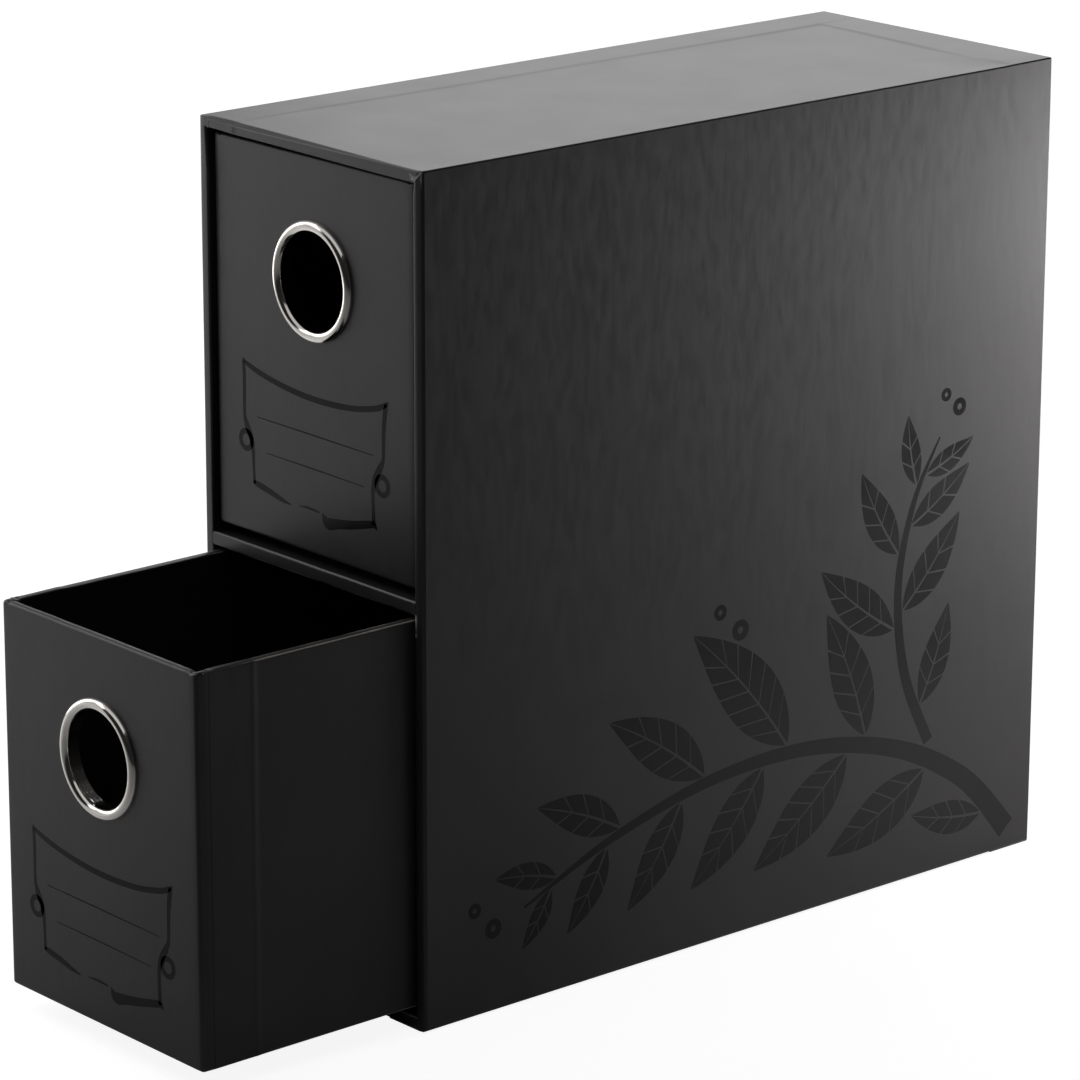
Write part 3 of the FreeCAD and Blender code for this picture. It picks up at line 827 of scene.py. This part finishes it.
def buildSideWrap():
    d = drawerSize
    half, under, inner = d["half"], lowerFace.z, d["half"] - d["wall"]
    start, end = lowerFace.y + d["wrapStart"], lowerFace.y + d["length"]
    rim, back = under + d["height"], end - d["wall"]
    piece = addBlock("lower_side_paper", (-half, start, under), (half, end, rim))
    startEdit(piece)
    deleteFaces(lambda p: near(p.y, start))
    cutAcross(0, [-inner, inner])
    cutAcross(1, [back])
    deleteFaces(lambda p: near(p.z, rim) and abs(p.x) < inner and p.y < back)
    stepAt = lowerFace.y + d["stepAt"]
    cutAcross(1, [stepAt - 1.6 + 0.4 * k for k in range(9)] + [lowerFace.y + 4.6 + 1.5 * k for k in range(7)]
              + [lowerFace.y + 24 + 6 * k for k in range(30)])
    cutAcross(2, [under + 9 + 9 * k for k in range(10)])
    mouth = lambda a, b: (bothAt(a, b, z=rim) and max(a.y, b.y) < back + 0.01
                          and max(abs(a.x), abs(b.x)) < inner + 0.01)
    foldOut(mouth, lambda x, y, z: (x, y, z - d["turnIn"]))
    sew()
    level = lambda a, b: bothAt(a, b, z=rim) or bothAt(a, b, z=under)
    roundFold(d["wrapFold"], 4, lambda a, b: level(a, b) and (onSides(a, b, half) or bothAt(a, b, y=end))
              or bothAt(a, b, y=end) and onSides(a, b, half))
    roundFold(d["wrapRim"], 3, mouth)
    thicken(piece, d["sheet"])

    def settle(x, y, z):
        # the wrap lies over the front sheet's flaps and steps down behind them
        edge = stepAt + wave(0, 2, z, 30, 0.8)
        lower = easeStep(y, edge - 1.5, edge + 1.5)
        drop = d["sink"] * lower - d["proud"] * (1 - lower)
        if abs(x) > half - 0.7:
            x -= math.copysign(drop - wave(0, y, z, 26, 0.04) * lower, x)
        if z > rim - 0.9:
            z -= d["sink"] * lower - wave(x, y, 0, 8, 0.10)
        return x, y, z

    moveCorners(piece, settle)
    markWear(piece, lambda x, y, z: 0.25 * easeStep(z, rim - 0.4, rim) if y < start + 0.8 else 0.0)
    return piece


def bothDrawers(piece, part, material, nodeEnd, angle=35):
    twin = copyPiece(piece, "upper_" + part, upperShift)
    finish(piece, "lower_drawer", material, ["lower_drawer_" + nodeEnd] if nodeEnd else (), angle)
    finish(twin, "upper_drawer", material, ["upper_drawer_" + nodeEnd] if nodeEnd else (), angle)


drawerBoards = {
    "frontHalf": 38.1,
    "bottomHalf": 38.5,
    "front": 0.2,                # behind the drawer's face
    "frontBack": 2.2,
    "bottomBack": 207.7,
    "bottom": 0.2,               # over the drawer's underside
    "bottomTop": 2.2,
    "frontTop": 99.0,
}


def buildFrontBoard():
    m, face, under = drawerBoards, lowerFace.y, lowerFace.z
    half, front, back, top = m["frontHalf"], face + m["front"], face + m["frontBack"], under + m["frontTop"]
    piece = buildBoard("lower_front_panel", (-half, front, under + m["bottomTop"]), (half, back, top), [
        (0.75, lambda a, b: bothAt(a, b, y=front) and (onSides(a, b, half) or bothAt(a, b, z=top))),
        (0.5, lambda a, b: bothAt(a, b, z=top) and (bothAt(a, b, y=back) or onSides(a, b, half))),
    ])
    cutHole(piece, face)
    return piece


def buildBottomBoard():
    m, face, under = drawerBoards, lowerFace.y, lowerFace.z
    half, narrow, front, low = m["bottomHalf"], m["frontHalf"], face + m["front"], under + m["bottom"]
    return buildBoard(
        "lower_bottom_panel", (-half, front, low), (half, face + m["bottomBack"], under + m["bottomTop"]),
        [(0.75, lambda a, b: bothAt(a, b, y=front) and (onSides(a, b, half) or bothAt(a, b, z=low)))],
        lambda x, y, z: (math.copysign(min(abs(x), narrow), x), y, z) if y < face + 2.1 else (x, y, z))


bothDrawers(buildFrontBoard(), "front_panel", greyboard, "front_board")
bothDrawers(buildBottomBoard(), "bottom_panel", greyboard, "bottom_board")
bothDrawers(buildFrontSheet(), "front_paper", drawerPaper, "front_sheet")
bothDrawers(buildSideWrap(), "side_paper", drawerPaper, "wrap")
print("drawer papers folded")


# Finger eyelets and their back rings, each a profile spun round the hole's axis

eyeletSize = {
    "bore": 12.2,
    "bead": 1.4,
    "metal": 0.4,
    "depth": 3.3,
    "lip": 13.4,
    "ridgeStart": 0.6,           # two fine rolled lines inside the barrel
    "ridgePitch": 1.1,
    "ringInner": 12.72,
    "ringOuter": 15.0,
    "ringFront": 2.41,
    "ringBack": 2.9,
}


def spinProfile(name, points, steps=128):
    # draws a closed profile of (radius, depth) points corner by corner, and spins it
    face, centre = lowerFace.y, lowerFace.z + drawerSize["holeHeight"]
    nothingPicked()
    bpy.ops.mesh.primitive_plane_add(size=mm)
    piece = bpy.context.object
    piece.name = piece.data.name = name
    bpy.ops.object.mode_set(mode="EDIT")
    bpy.ops.mesh.select_mode(type="VERT")
    bpy.ops.mesh.select_all(action="SELECT")
    bpy.ops.mesh.merge(type="CENTER")
    spots = [Vector((radius, face + depth, centre)) * mm for radius, depth in points]
    bpy.ops.transform.translate(value=spots[0])
    for before, after in zip(spots, spots[1:]):
        bpy.ops.mesh.extrude_vertices_move(TRANSFORM_OT_translate={"value": after - before})
    shape = bmesh.from_edit_mesh(piece.data)
    ends = [v for v in shape.verts if len(v.link_edges) == 1]
    shape.edges.new(ends)
    bmesh.update_edit_mesh(piece.data)
    bpy.ops.mesh.select_all(action="SELECT")
    bpy.ops.mesh.spin(steps=steps, angle=2 * math.pi, center=Vector((0, face, centre)) * mm, axis=(0, 1, 0))
    sew(0.004)
    bpy.ops.mesh.select_all(action="SELECT")
    bpy.ops.mesh.normals_make_consistent(inside=False)
    bpy.ops.object.mode_set(mode="OBJECT")
    return piece


def arc(centre, radius, start, stop, count):
    turns = [math.radians(start + (stop - start) * k / count) for k in range(count + 1)]
    return [(centre[0] + radius * math.cos(t), centre[1] + radius * math.sin(t)) for t in turns]


def buildEyelet():
    e = eyeletSize
    bore, depth, lipEdge, metal = e["bore"], e["depth"], e["lip"], e["metal"]
    crest = bore + e["bead"]
    points = arc((crest, 0), e["bead"], 0, -180, 22)
    for k in range(2):
        at = e["ridgeStart"] + e["ridgePitch"] * k
        points += [(bore, at), (bore + 0.02, at + 0.12), (bore, at + 0.24)]
    points += arc((bore + 0.35, depth - 0.35), 0.35, 180, 90, 5)
    points += [(lipEdge - 0.12, depth), (lipEdge, depth - 0.12), (lipEdge, depth - 0.3), (lipEdge - 0.1, depth - 0.4)]
    points += [(bore + metal, depth - 0.4), (bore + metal, 0.1)]
    points += arc((crest, 0), e["bead"] - metal, -180, 0, 12)
    return spinProfile("lower_eyelet_ring", points)


def buildBackRing():
    e = eyeletSize
    inner, outer, front, back = e["ringInner"], e["ringOuter"], e["ringFront"], e["ringBack"]
    points = [(inner, front), (outer - 0.1, front), (outer, front + 0.12), (outer, back - 0.2)]
    points += [(outer - 0.12, back - 0.06), (outer - 0.4, back), (inner + 0.6, back - 0.02), (inner, back - 0.06)]
    return spinProfile("lower_eyelet_washer", points, 96)


bothDrawers(buildEyelet(), "eyelet_ring", nickel, "eyelet", 40)
bothDrawers(buildBackRing(), "eyelet_washer", nickel, "eyelet_back_ring", 40)
print("eyelets spun")


# Gloss prints: flat shapes drawn as filled curves, a few hundredths of a millimetre proud

inkHeight = 0.036


def smoothed(points, steps=6):
    # a smooth line through the given points
    if len(points) < 3:
        return list(points)
    padded = [points[0]] + list(points) + [points[-1]]
    line = []
    for a, b, c, d in zip(padded, padded[1:], padded[2:], padded[3:]):
        for k in range(steps):
            t = k / steps
            line.append(tuple(
                0.5 * (2 * q + (r - p) * t + (2 * p - 5 * q + 4 * r - s) * t * t + (3 * q - p - 3 * r + s) * t ** 3)
                for p, q, r, s in zip(a, b, c, d)))
    line.append(tuple(points[-1]))
    return line


def brushStroke(points, steps=6):
    # the outline of a stroke through (x, z, width) points
    line = smoothed(points, steps)
    left, right = [], []
    for k, (x, y, width) in enumerate(line):
        before, after = line[max(0, k - 1)], line[min(len(line) - 1, k + 1)]
        run = Vector((after[0] - before[0], after[1] - before[1]))
        side = Vector((-run.y, run.x)).normalized() * max(width, 0.02) / 2
        left.append((x + side.x, y + side.y))
        right.append((x - side.x, y - side.y))
    return left + right[::-1]


def ringOutlines(centre, outer, inner, count=28):
    turns = [2 * math.pi * k / count for k in range(count)]
    return [[(centre[0] + r * math.cos(t), centre[1] + r * math.sin(t)) for t in turns] for r in (outer, inner)]


def inkShape(outlines):
    # one filled shape on the XY plane, with its holes as further outlines
    curve = bpy.data.curves.new("ink", "CURVE")
    curve.dimensions = "2D"
    curve.fill_mode = "BOTH"
    curve.extrude = inkHeight * mm / 2
    for outline in outlines:
        line = curve.splines.new("POLY")
        line.points.add(len(outline) - 1)
        for point, (x, y) in zip(line.points, outline):
            point.co = (x * mm, y * mm, 0, 1)
        line.use_cyclic_u = True
    shape = bpy.data.objects.new("ink", curve)
    bpy.context.collection.objects.link(shape)
    return shape


def printShapes(name, shapes, turn, spot):
    # makes the shapes one mesh, stands it up and puts it on its face
    made = [inkShape(outlines) for outlines in shapes]
    nothingPicked()
    for shape in made:
        shape.select_set(True)
    bpy.context.view_layer.objects.active = made[0]
    bpy.ops.object.convert(target="MESH")
    bpy.ops.object.join()
    piece = bpy.context.object
    piece.name = piece.data.name = name
    piece.rotation_euler = [math.radians(angle) for angle in turn]
    piece.location = Vector(spot) * mm
    bpy.ops.object.transform_apply(location=True, rotation=True, scale=True)
    bpy.ops.object.mode_set(mode="EDIT")
    sew(0.0005)
    bpy.ops.mesh.select_all(action="SELECT")
    bpy.ops.mesh.normals_make_consistent(inside=False)
    bpy.ops.object.mode_set(mode="OBJECT")
    return piece


labelFrame = {
    "topLine": ((-28.2, 44.2, 0.5), (-26.6, 43.2, 1.2), (-22.5, 42.0, 1.5), (-17.0, 40.9, 1.5), (-11.5, 40.1, 1.5),
                (-5.0, 39.5, 1.6), (1.5, 39.3, 1.6), (8.5, 39.5, 1.6), (15.0, 40.1, 1.5), (20.0, 41.0, 1.5),
                (24.3, 42.1, 1.5), (26.8, 43.2, 1.3), (28.2, 44.2, 0.5)),
    "leftPost": ((-27.9, 43.6, 1.0), (-27.6, 41.0, 1.25), (-27.6, 36.0, 1.15), (-27.6, 30.0, 1.15),
                 (-26.7, 27.4, 1.9), (-25.2, 24.6, 1.9), (-24.4, 21.4, 1.3), (-24.2, 17.0, 1.0), (-24.0, 13.0, 1.1)),
    "rightPost": ((27.5, 43.6, 1.3), (26.9, 41.0, 1.6), (26.4, 36.0, 1.3), (26.2, 30.0, 1.2), (25.0, 27.4, 1.9),
                  (23.2, 24.4, 2.0), (22.3, 21.2, 1.4), (22.3, 17.0, 1.2), (22.5, 12.6, 1.5)),
    "leftRing": ((-27.1, 23.6), 2.95, 1.5),
    "rightRing": ((25.8, 23.1), 2.95, 1.5),
    "bottomLeft": ((-24.4, 13.4, 1.0), (-22.0, 13.0, 1.7), (-17.5, 12.2, 1.6), (-13.0, 11.2, 1.2), (-9.6, 10.7, 0.3)),
    "bottomMiddle": ((-6.6, 11.1, 0.15), (-3.0, 11.4, 0.7), (1.6, 11.2, 0.5)),
    "bottomRight": ((2.6, 11.4, 0.1), (4.6, 9.2, 3.0), (9.0, 9.9, 2.5), (14.0, 10.8, 2.2), (19.0, 12.0, 2.0),
                    (22.4, 12.7, 1.7), (23.7, 11.6, 0.2)),
    "upperRule": ((-22.6, 30.3, 0.25), (0, 30.2, 0.42), (22.4, 30.0, 0.25)),
    "lowerRule": ((-19.2, 21.8, 0.2), (0, 21.7, 0.4), (18.9, 21.4, 0.2)),
}


def buildLabel():
    strokes = [[brushStroke(points)] for name, points in labelFrame.items() if not name.endswith("Ring")]
    strokes += [ringOutlines(*ring) for name, ring in labelFrame.items() if name.endswith("Ring")]
    return printShapes("lower_label_print", strokes, (90, 0, 0), (0, lowerFace.y, lowerFace.z))


bothDrawers(buildLabel(), "label_print", varnish, None)


# Foliage print on the right side, in (y, z) on that face

foliage = {
    "bough": ((97, 6, 6.4), (80, 24, 5.6), (54, 38, 4.8), (22, 45, 4.0), (-12, 44, 3.2), (-46, 36, 2.2),
              (-74, 25, 0.6)),
    "sprig": ((66.4, 37.4, 3.4), (57, 58, 3.2), (54, 82, 2.6), (59, 104, 1.8), (68, 120, 0.5)),
    "leaves": (                  # stem, place along it, side, length, turn in degrees
        ("bough", 0.08, -1, 26, 46), ("bough", 0.26, -1, 38, 60), ("bough", 0.43, -1, 40, 56),
        ("bough", 0.58, -1, 36, 54), ("bough", 0.72, -1, 30, 50), ("bough", 0.84, -1, 23, 46),
        ("bough", 0.94, -1, 16, 40), ("bough", 0.39, 1, 38, 62), ("bough", 0.53, 1, 48, 54),
        ("bough", 0.68, 1, 38, 50), ("bough", 0.81, 1, 29, 47), ("bough", 0.92, 1, 20, 42),
        ("sprig", 0.14, 1, 27, 54), ("sprig", 0.43, 1, 30, 52), ("sprig", 0.67, 1, 24, 48),
        ("sprig", 0.84, 1, 18, 44), ("sprig", 0.38, -1, 33, 54), ("sprig", 0.60, -1, 27, 50),
        ("sprig", 0.81, -1, 19, 46),
    ),
    "berries": ((-84, 22, 2.6), (-90, 28, 2.0), (75, 127, 2.4), (70, 131, 1.8), (-2, 82, 2.8), (-9, 88, 2.1)),
}


def leafPieces(base, heading, length, width, bend, gap=0.8, slant=0.13):
    # a leaf parted along its midrib and its side veins
    base = Vector(base)
    along = Vector((math.cos(heading), math.sin(heading)))
    side = Vector((-along.y, along.x))

    def spotOn(t, share, sign):
        centre = base + along * length * t + side * bend * length * t * t
        run = (along + side * bend * 2 * t).normalized()
        rib = gap / 2 * (1 - 0.8 * t) + 0.03
        body = max(rib + 0.02, width / 2 * math.sin(math.pi * t ** 0.8) ** 0.9)
        return tuple(centre + Vector((-run.y, run.x)) * sign * (rib + (body - rib) * share))

    veins = max(3, round(length / 7))
    cut = 0.28 / length
    stops = [0.8 * k / veins for k in range(veins)] + [1.0]
    pieces = []
    for sign in (1, -1):
        for first, last in zip(stops, stops[1:]):
            low = first + (cut if first else 0)
            high = last - (cut if last < 1 else 0)
            outerLow = low + (slant if first else 0)
            outerHigh = high + (slant if last < 1 else 0)
            rib = [spotOn(low + (high - low) * k / 4, 0, sign) for k in range(5)]
            edge = [spotOn(outerHigh + (outerLow - outerHigh) * k / 6, 1, sign) for k in range(7)]
            if not first:
                edge = edge[:-1]
            if last == 1:
                edge = edge[1:]
            pieces.append([rib + edge])
    return pieces


def buildFoliage():
    shapes = [[brushStroke(foliage["bough"], 12)], [brushStroke(foliage["sprig"], 12)]]
    for stem, share, sign, length, turn in foliage["leaves"]:
        path = smoothed(foliage[stem], 12)
        k = int(share * (len(path) - 1))
        at, ahead = path[k], path[min(len(path) - 1, k + 2)]
        heading = math.atan2(ahead[1] - at[1], ahead[0] - at[0]) - sign * math.radians(turn)
        reach = at[2] / 2 / math.sin(math.radians(turn)) + 0.7
        start = (at[0] + math.cos(heading) * reach, at[1] + math.sin(heading) * reach)
        shapes.extend(leafPieces(start, heading, length, length * 0.36, sign * 0.14))
    shapes.extend(ringOutlines((y, z), r, r * 0.35) for y, z, r in foliage["berries"])
    return printShapes("foliage_print", shapes, (90, 0, 90), (caseSize["side"] - 0.02, 0, 0))


finish(buildFoliage(), "case", sideVarnish)
print("prints laid down")


# Finishes of the nodes that stay

nodeLooks = {"glide_board": blackBoard, "board": greyboard, "lining": liningPaper}
for name, node in nodes.items():
    if node.hide_render:
        continue
    ending = next(k for k in nodeLooks if name.endswith(k))
    node.data.materials.clear()
    node.data.materials.append(nodeLooks[ending])
print("nodes dressed")


# Floor, world and lamps

studio = {
    "worldDiffuse": 0.03,
    "worldGlossy": 0.02,
    "floor": 0.8,
    "floorSeen": 0.30,           # what the camera sees is mostly the floor's own white, with a faint shadow
    "glowSeen": (0.90, 1.02),    # near the box and from 0.6 m away
    "glow": 0.27,                # what gloss and metal see of that white, behind and left of the box
    "glowShade": 0.0,            # and in front and to the right of it: painted shade, so that gloss sees a darker floor there
    "shadeWay": (0.755, -0.656, 0),
    "shade": (0.0, 0.08),        # where it falls off, in metres from the middle
    "dark": 0.34,                # how pale the floor itself looks to gloss on that side: painted shade
    "darkFrom": (0.06, 0.22),
    "fade": (0.30, 0.60),        # the floor further out, from the middle
}


def takesGloss(tree, paths):
    # whether the ray comes off gloss or metal, or through glass
    return mathOf(tree, "MAXIMUM", paths["Is Glossy Ray"], paths["Is Transmission Ray"])


def vectorValue(tree, operation, first, second=None):
    node = tree.nodes.new("ShaderNodeVectorMath")
    node.operation = operation
    tree.links.new(first, node.inputs[0])
    if second:
        node.inputs[1].default_value = second
    return node.outputs["Value"]


def buildFloor():
    nothingPicked()
    bpy.ops.mesh.primitive_plane_add(size=14, location=(0, 0, -0.0001))
    floor = bpy.context.object
    floor.name = "floor"
    material, tree, shader, spot = newMaterial("pale floor")
    grey = lambda level: (level,) * 3
    shader.inputs["Base Color"].default_value = (*grey(studio["floor"]), 1)
    shader.inputs["Roughness"].default_value = 0.9
    shader.inputs["Specular IOR Level"].default_value = 0.0
    paths = tree.nodes.new("ShaderNodeLightPath").outputs
    pale = tree.nodes.new("ShaderNodeBsdfDiffuse")
    glow = tree.nodes.new("ShaderNodeEmission")
    toward = vectorValue(tree, "DOT_PRODUCT", spot, studio["shadeWay"])
    away = vectorValue(tree, "LENGTH", spot)
    # the floor's own colour, as gloss and as the camera see it; for gloss it is darker in front of and right of the
    # box, painted shade
    darker = spread(tree, toward, 0, 1, *studio["darkFrom"])
    inGloss = blendColours(tree, darker, grey(studio["floor"]), grey(studio["dark"]))
    colour = blendColours(tree, paths["Is Camera Ray"], inGloss, grey(studio["floorSeen"]))
    tree.links.new(colour, pale.inputs["Color"])
    # and the white that each of them sees on it; for gloss it fades out in front of and right of the box, painted
    # shade
    shade = mathOf(tree, "MULTIPLY", spread(tree, toward, studio["glow"], studio["glowShade"], *studio["shade"]),
                   spread(tree, away, 1, 0, *studio["fade"]))
    white = spread(tree, away, *studio["glowSeen"], *studio["fade"])
    tree.links.new(mixValues(tree, paths["Is Camera Ray"], shade, white), glow.inputs["Strength"])
    both = tree.nodes.new("ShaderNodeAddShader")
    tree.links.new(pale.outputs[0], both.inputs[0])
    tree.links.new(glow.outputs[0], both.inputs[1])
    seen = mathOf(tree, "MAXIMUM", paths["Is Camera Ray"], takesGloss(tree, paths))
    tree.links.new(mixShaders(tree, seen, shader.outputs[0], both.outputs[0]),
                   tree.nodes["Material Output"].inputs["Surface"])
    floor.data.materials.append(material)


def buildWorld():
    world = bpy.data.worlds.new("studio")
    bpy.context.scene.world = world
    world.use_nodes = True
    tree = world.node_tree
    plain = tree.nodes["Background"]
    plain.inputs["Color"].default_value = (1, 1, 1, 1)
    plain.inputs["Strength"].default_value = studio["worldDiffuse"]
    room = tree.nodes.new("ShaderNodeBackground")
    room.inputs["Strength"].default_value = studio["worldGlossy"]
    white = tree.nodes.new("ShaderNodeBackground")
    paths = tree.nodes.new("ShaderNodeLightPath").outputs
    unseen = mixShaders(tree, takesGloss(tree, paths), plain.outputs[0], room.outputs[0])
    seen = mixShaders(tree, paths["Is Camera Ray"], unseen, white.outputs[0])
    tree.links.new(seen, tree.nodes["World Output"].inputs["Surface"])


# each lamp is a soft panel: its middle, the way it faces, its width and height, and its brightness (1 is white)
forward, right, down = (0, -1, 0), (1, 0, 0), (0, 0, -1)
lamps = {
    "backWall": ((-0.40, 0.40, 0.41), forward, (0.60, 0.58), 1.62),
    "backWallFar": ((-0.95, 0.40, 0.41), forward, (0.50, 0.58), 0.58),
    "backStrip": ((0.09, 0.22, 0.168), forward, (0.06, 0.096), 10.8),
    "backStripLow": ((0.09, 0.22, 0.061), forward, (0.06, 0.118), 2.2),
    "backLow": ((0.22, 0.40, 0.061), forward, (0.16, 0.118), 6.8),
    "leftPanel": ((-0.60, -0.275, 0.25), right, (0.35, 0.50), 2.4),
    "leftWashHigh": ((-0.60, -0.50, 0.75), right, (0.80, 0.50), 1.8),
    "leftWashBack": ((-0.60, 0.10, 0.80), right, (0.40, 0.20), 1.8),
    "leftWashNear": ((-0.60, -0.675, 0.25), right, (0.45, 0.50), 0.5),
    "overhead": ((0.0, -0.45, 0.95), down, (1.2, 0.9), 0.6),
}


def hangLamps():
    for name, (spot, facing, (wide, high), bright) in lamps.items():
        light = bpy.data.lights.new(name, "AREA")
        light.shape = "RECTANGLE"
        light.size, light.size_y = wide, high
        light.energy = math.pi * wide * high * bright
        holder = bpy.data.objects.new(name, light)
        bpy.context.collection.objects.link(holder)
        holder.location = spot
        holder.rotation_euler = Vector(facing).to_track_quat("-Z", "Y").to_euler()
        holder.visible_camera = False


buildFloor()
buildWorld()
hangLamps()
bpy.context.scene.view_settings.view_transform = "Standard"
print("studio lit")

nothingPicked()
